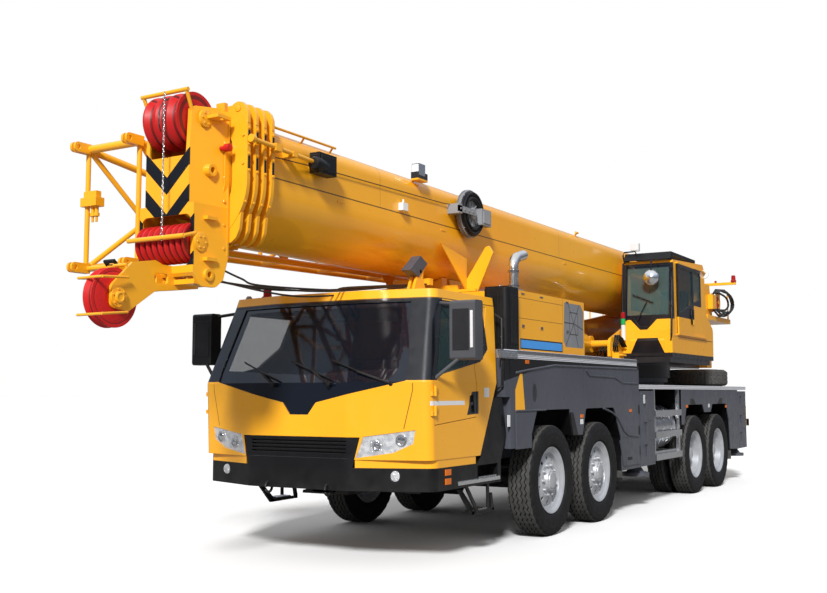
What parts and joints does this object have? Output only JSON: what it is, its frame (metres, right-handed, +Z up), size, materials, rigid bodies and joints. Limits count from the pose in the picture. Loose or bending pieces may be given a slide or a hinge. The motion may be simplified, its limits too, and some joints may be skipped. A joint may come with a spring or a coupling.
{
  "type": "mobile crane",
  "caption": "Truck-mounted telescopic crane with a driver's cab in front, boom laid over it, slewing operator's cab, outriggers and a stowed lattice fly jib.",
  "frame": {"origin": "on the ground under the middle of the whole length and width", "axes": "+X forward along the boom, +Y to the vehicle's left, +Z up"},
  "size_m": [14.8618, 3.43, 4.085],
  "materials": {
    "yellow_paint": "gloss",
    "chassis_paint": "satin",
    "axle_paint": "satin",
    "deck_paint": "satin",
    "silver_metal": "brushed",
    "steel": "polished",
    "cast_iron": "rough",
    "black_plastic": "matte",
    "dark_trim": "matte",
    "red_paint": "satin",
    "tyre": "matte",
    "glass": "clear"
  },
  "bodies": {
    "chassis": {"chassis_frame": "chassis_paint", "axles": "axle_paint", "decks": "deck_paint", "fenders": "chassis_paint", "side_tanks": "silver_metal", "engine_hood": "yellow_paint", "engine_block": "cast_iron", "boom_rest": "yellow_paint", "intake_column": "black_plastic", "exhaust_stack": "steel", "spare_wheel": "tyre", "cab_shell": "yellow_paint", "cab_glass": "glass", "cab_interior": "dark_trim", "front_bumper": "black_plastic", "headlamps": "silver_metal"},
    "wheel_1_left": {"wheel_1_left": "tyre"},
    "knuckle_1_left": {"knuckle_1_left": "axle_paint"},
    "wheel_1_right": {"wheel_1_right": "tyre"},
    "knuckle_1_right": {"knuckle_1_right": "axle_paint"},
    "wheel_2_left": {"wheel_2_left": "tyre"},
    "knuckle_2_left": {"knuckle_2_left": "axle_paint"},
    "wheel_2_right": {"wheel_2_right": "tyre"},
    "knuckle_2_right": {"knuckle_2_right": "axle_paint"},
    "wheel_3_left": {"wheel_3_left": "tyre"},
    "wheel_3_right": {"wheel_3_right": "tyre"},
    "wheel_4_left": {"wheel_4_left": "tyre"},
    "wheel_4_right": {"wheel_4_right": "tyre"},
    "door_left": {"door_left": "yellow_paint", "door_glass_left": "glass", "mirror_left": "black_plastic"},
    "door_right": {"door_right": "yellow_paint", "door_glass_right": "glass", "mirror_right": "black_plastic"},
    "outrigger_front_left": {"outrigger_front_left": "chassis_paint"},
    "jack_front_left": {"jack_front_left": "chassis_paint"},
    "outrigger_front_right": {"outrigger_front_right": "chassis_paint"},
    "jack_front_right": {"jack_front_right": "chassis_paint"},
    "outrigger_rear_left": {"outrigger_rear_left": "chassis_paint"},
    "jack_rear_left": {"jack_rear_left": "chassis_paint"},
    "outrigger_rear_right": {"outrigger_rear_right": "chassis_paint"},
    "jack_rear_right": {"jack_rear_right": "chassis_paint"},
    "turntable": {"turntable": "yellow_paint", "counterweight": "yellow_paint", "winch": "yellow_paint", "operator_cab": "yellow_paint", "operator_interior": "dark_trim", "operator_glass": "glass", "roof_guard": "black_plastic"},
    "operator_door": {"operator_door": "yellow_paint", "operator_door_glass": "glass"},
    "boom_base": {"boom_base": "yellow_paint", "fly_jib": "yellow_paint"},
    "boom_2": {"boom_2": "yellow_paint"},
    "boom_3": {"boom_3": "yellow_paint"},
    "boom_4": {"boom_4": "yellow_paint"},
    "boom_head": {"boom_head": "yellow_paint", "head_sheaves": "red_paint"},
    "luff_barrel": {"luff_barrel": "yellow_paint"},
    "luff_rod": {"luff_rod": "steel"}
  },
  "joints": [
    {"name": "steer_1_left", "type": "hinge", "parent": "chassis", "child": "knuckle_1_left", "pos_m": [1.899, 0.985, 0.613], "axis": [0, 0, 1], "range_deg": [-32, 32]},
    {"name": "spin_1_left", "type": "hinge", "parent": "knuckle_1_left", "child": "wheel_1_left", "pos_m": [1.899, 1.225, 0.613], "axis": [0, 1, 0], "continuous": true},
    {"name": "steer_1_right", "type": "hinge", "parent": "chassis", "child": "knuckle_1_right", "pos_m": [1.899, -0.985, 0.613], "axis": [0, 0, 1], "range_deg": [-32, 32]},
    {"name": "spin_1_right", "type": "hinge", "parent": "knuckle_1_right", "child": "wheel_1_right", "pos_m": [1.899, -1.225, 0.613], "axis": [0, 1, 0], "continuous": true},
    {"name": "steer_2_left", "type": "hinge", "parent": "chassis", "child": "knuckle_2_left", "pos_m": [0.411, 0.985, 0.613], "axis": [0, 0, 1], "range_deg": [-22.4, 22.4]},
    {"name": "spin_2_left", "type": "hinge", "parent": "knuckle_2_left", "child": "wheel_2_left", "pos_m": [0.411, 1.225, 0.613], "axis": [0, 1, 0], "continuous": true},
    {"name": "steer_2_right", "type": "hinge", "parent": "chassis", "child": "knuckle_2_right", "pos_m": [0.411, -0.985, 0.613], "axis": [0, 0, 1], "range_deg": [-22.4, 22.4]},
    {"name": "spin_2_right", "type": "hinge", "parent": "knuckle_2_right", "child": "wheel_2_right", "pos_m": [0.411, -1.225, 0.613], "axis": [0, 1, 0], "continuous": true},
    {"name": "spin_3_left", "type": "hinge", "parent": "chassis", "child": "wheel_3_left", "pos_m": [-3.867, 1.225, 0.613], "axis": [0, 1, 0], "continuous": true},
    {"name": "spin_3_right", "type": "hinge", "parent": "chassis", "child": "wheel_3_right", "pos_m": [-3.867, -1.225, 0.613], "axis": [0, 1, 0], "continuous": true},
    {"name": "spin_4_left", "type": "hinge", "parent": "chassis", "child": "wheel_4_left", "pos_m": [-5.233, 1.225, 0.613], "axis": [0, 1, 0], "continuous": true},
    {"name": "spin_4_right", "type": "hinge", "parent": "chassis", "child": "wheel_4_right", "pos_m": [-5.233, -1.225, 0.613], "axis": [0, 1, 0], "continuous": true},
    {"name": "door_left_hinge", "type": "hinge", "parent": "chassis", "child": "door_left", "pos_m": [4.549, 1.36, 1.5], "axis": [0, 0, -1], "range_deg": [0, 72]},
    {"name": "door_right_hinge", "type": "hinge", "parent": "chassis", "child": "door_right", "pos_m": [4.549, -1.36, 1.5], "axis": [0, 0, 1], "range_deg": [0, 72]},
    {"name": "outrigger_front_left_slide", "type": "slide", "parent": "chassis", "child": "outrigger_front_left", "axis": [0, 1, 0], "range_m": [0, 1.85]},
    {"name": "jack_front_left_slide", "type": "slide", "parent": "outrigger_front_left", "child": "jack_front_left", "axis": [0, 0, -1], "range_m": [0, 0.6]},
    {"name": "outrigger_front_right_slide", "type": "slide", "parent": "chassis", "child": "outrigger_front_right", "axis": [0, -1, 0], "range_m": [0, 1.85]},
    {"name": "jack_front_right_slide", "type": "slide", "parent": "outrigger_front_right", "child": "jack_front_right", "axis": [0, 0, -1], "range_m": [0, 0.6]},
    {"name": "outrigger_rear_left_slide", "type": "slide", "parent": "chassis", "child": "outrigger_rear_left", "axis": [0, 1, 0], "range_m": [0, 1.85]},
    {"name": "jack_rear_left_slide", "type": "slide", "parent": "outrigger_rear_left", "child": "jack_rear_left", "axis": [0, 0, -1], "range_m": [0, 0.6]},
    {"name": "outrigger_rear_right_slide", "type": "slide", "parent": "chassis", "child": "outrigger_rear_right", "axis": [0, -1, 0], "range_m": [0, 1.85]},
    {"name": "jack_rear_right_slide", "type": "slide", "parent": "outrigger_rear_right", "child": "jack_rear_right", "axis": [0, 0, -1], "range_m": [0, 0.6]},
    {"name": "slew", "type": "hinge", "parent": "chassis", "child": "turntable", "pos_m": [-4.101, 0, 1.835], "axis": [0, 0, 1], "continuous": true},
    {"name": "operator_door_slide", "type": "slide", "parent": "turntable", "child": "operator_door", "axis": [-1, 0, 0], "range_m": [0, 0.7]},
    {"name": "luff", "type": "hinge", "parent": "turntable", "child": "boom_base", "pos_m": [-5.601, 0, 3.1], "axis": [0, -1, 0], "range_deg": [0, 80]},
    {"name": "extend_boom_2", "type": "slide", "parent": "boom_base", "child": "boom_2", "axis": [1, 0, 0], "range_m": [0, 8.4]},
    {"name": "extend_boom_3", "type": "slide", "parent": "boom_2", "child": "boom_3", "axis": [1, 0, 0], "range_m": [0, 8.4]},
    {"name": "extend_boom_4", "type": "slide", "parent": "boom_3", "child": "boom_4", "axis": [1, 0, 0], "range_m": [0, 8.4]},
    {"name": "extend_boom_head", "type": "slide", "parent": "boom_4", "child": "boom_head", "axis": [1, 0, 0], "range_m": [0, 8.4]},
    {"name": "luff_barrel_swing", "type": "hinge", "parent": "turntable", "child": "luff_barrel", "pos_m": [-2.551, 0, 2.35], "axis": [0, -1, 0], "range_deg": [-5, 110]},
    {"name": "luff_rod_slide", "type": "slide", "parent": "luff_barrel", "child": "luff_rod", "axis": [0.9969, 0, 0.0784], "range_m": [0, 3.6]}
  ],
  "couplings": [
    {"joint": "steer_1_right", "follows": "steer_1_left", "ratio": 1},
    {"joint": "steer_2_left", "follows": "steer_1_left", "ratio": 0.7},
    {"joint": "steer_2_right", "follows": "steer_1_left", "ratio": 0.7},
    {"joint": "extend_boom_4", "follows": "extend_boom_3", "ratio": 1},
    {"joint": "extend_boom_head", "follows": "extend_boom_3", "ratio": 1},
    {"joint": "luff_barrel_swing", "follows": "luff", "ratio": 1.2115},
    {"joint": "luff_rod_slide", "follows": "luff", "m_per_rad": 2.1}
  ]
}
